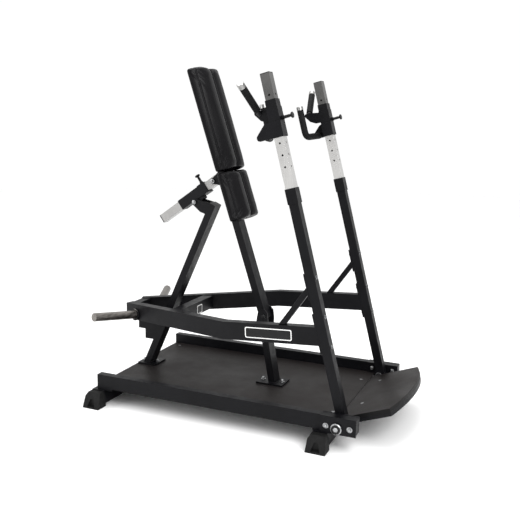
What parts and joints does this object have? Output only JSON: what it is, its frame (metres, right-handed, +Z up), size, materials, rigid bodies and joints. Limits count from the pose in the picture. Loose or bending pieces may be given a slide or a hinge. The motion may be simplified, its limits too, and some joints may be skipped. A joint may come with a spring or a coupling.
{
  "type": "standing lever press machine",
  "caption": "Plate-loaded standing lever press: black platform and posts, hinged lever arms with weight horns, sliding handle carriages, tilting two-pad backrest.",
  "frame": {"origin": "on the floor, under the middle of the bounding box", "axes": "+X the way the user faces, +Y to the user's left, +Z up"},
  "size_m": [1.8284, 1.12, 1.9248],
  "materials": {
    "frame": "satin charcoal black powder coat",
    "bright": "bright plated, polished",
    "horn_steel": "brushed, slightly warm grey",
    "zinc": "bright zinc plated",
    "rubber": "matt black",
    "plastic": "satin black",
    "board": "dark brown anti-slip film on plywood",
    "plywood": "bare plywood edge",
    "leather": "smooth black upholstery"
  },
  "bodies": {
    "base": {"rail_left": "frame", "rail_right": "frame", "cross_beam_rear": "frame", "cross_beam_front": "frame", "foot_rear_left": "rubber", "foot_rear_right": "rubber", "foot_front_left": "rubber", "foot_front_right": "rubber", "spine_beam": "frame", "platform_board": "board", "front_board": "board", "front_board_frame": "frame", "rear_post": "frame", "stop_bumper": "rubber", "mast": "frame", "pivot_plate_outer_left": "frame", "pivot_plate_outer_right": "frame", "pivot_plate_inner_left": "frame", "pivot_plate_inner_right": "frame", "pivot_shaft_left": "zinc", "pivot_shaft_right": "zinc", "hinge_pin": "zinc", "ear_bolt": "zinc"},
    "press_arm": {"upright_left": "frame", "upright_right": "frame", "inner_tube_left": "bright", "inner_tube_right": "bright", "tube_cap_left": "plastic", "tube_cap_right": "plastic", "lever_arm_left": "frame", "lever_arm_right": "frame", "brace_left": "frame", "brace_right": "frame", "weight_horn_left": "horn_steel", "weight_horn_right": "horn_steel", "lever_cross_rear": "frame", "lever_cross_front": "frame"},
    "carriage_left_body": {"carriage_left": "frame", "handle_high_left": "bright", "handle_low_left": "bright", "grip_high_left": "rubber", "grip_low_left": "rubber"},
    "carriage_pin_left_body": {"carriage_pin_left": "plastic"},
    "carriage_right_body": {"carriage_right": "frame", "handle_high_right": "bright", "handle_low_right": "bright", "grip_high_right": "rubber", "grip_low_right": "rubber"},
    "carriage_pin_right_body": {"carriage_pin_right": "plastic"},
    "backrest": {"pad_post": "frame", "eye_bolt": "zinc", "upper_pad_board": "plywood", "lower_pad_board": "plywood", "upper_pad": "leather", "lower_pad": "leather"},
    "adjuster_sleeve_body": {"adjuster_sleeve": "frame"},
    "adjuster_tube_body": {"adjuster_tube": "bright", "adjuster_cap": "plastic"},
    "adjuster_pin_body": {"adjuster_pin": "plastic"}
  },
  "joints": [
    {"name": "press_pivot", "type": "hinge", "parent": "base", "child": "press_arm", "pos_m": [0.60977, 0, 0.121], "axis": [0, 1, 0], "range_deg": [0, 20]},
    {"name": "carriage_slide_left", "type": "slide", "parent": "press_arm", "child": "carriage_left_body", "axis": [-0.2575, 0, 0.9663], "range_m": [-0.24, 0.12]},
    {"name": "carriage_pin_pull_left", "type": "slide", "parent": "carriage_left_body", "child": "carriage_pin_left_body", "axis": [0.9663, 0, 0.2575], "range_m": [0, 0.01], "stiffness_N_per_m": 800, "springref_m": -0.005},
    {"name": "carriage_slide_right", "type": "slide", "parent": "press_arm", "child": "carriage_right_body", "axis": [-0.2575, 0, 0.9663], "range_m": [-0.24, 0.12]},
    {"name": "carriage_pin_pull_right", "type": "slide", "parent": "carriage_right_body", "child": "carriage_pin_right_body", "axis": [0.9663, 0, 0.2575], "range_m": [0, 0.01], "stiffness_N_per_m": 800, "springref_m": -0.005},
    {"name": "backrest_tilt", "type": "hinge", "parent": "base", "child": "backrest", "pos_m": [0.02127, 0, 0.524], "axis": [0, 1, 0], "range_deg": [-2.5, 6]},
    {"name": "adjuster_swing", "type": "hinge", "parent": "base", "child": "adjuster_sleeve_body", "pos_m": [-0.43173, 0, 1.158], "axis": [0, 1, 0], "range_deg": [-2.5, 6]},
    {"name": "adjuster_slide", "type": "slide", "parent": "adjuster_sleeve_body", "child": "adjuster_tube_body", "axis": [0.8192, 0, 0.5736], "range_m": [-0.036, 0.083]},
    {"name": "adjuster_pin_pull", "type": "slide", "parent": "adjuster_sleeve_body", "child": "adjuster_pin_body", "axis": [-0.5736, 0, 0.8192], "range_m": [0, 0.01], "stiffness_N_per_m": 800, "springref_m": -0.005}
  ],
  "couplings": [
    {"joint": "adjuster_swing", "follows": "backrest_tilt", "ratio": 0.855},
    {"joint": "adjuster_slide", "follows": "backrest_tilt", "m_per_rad": 0.784}
  ]
}
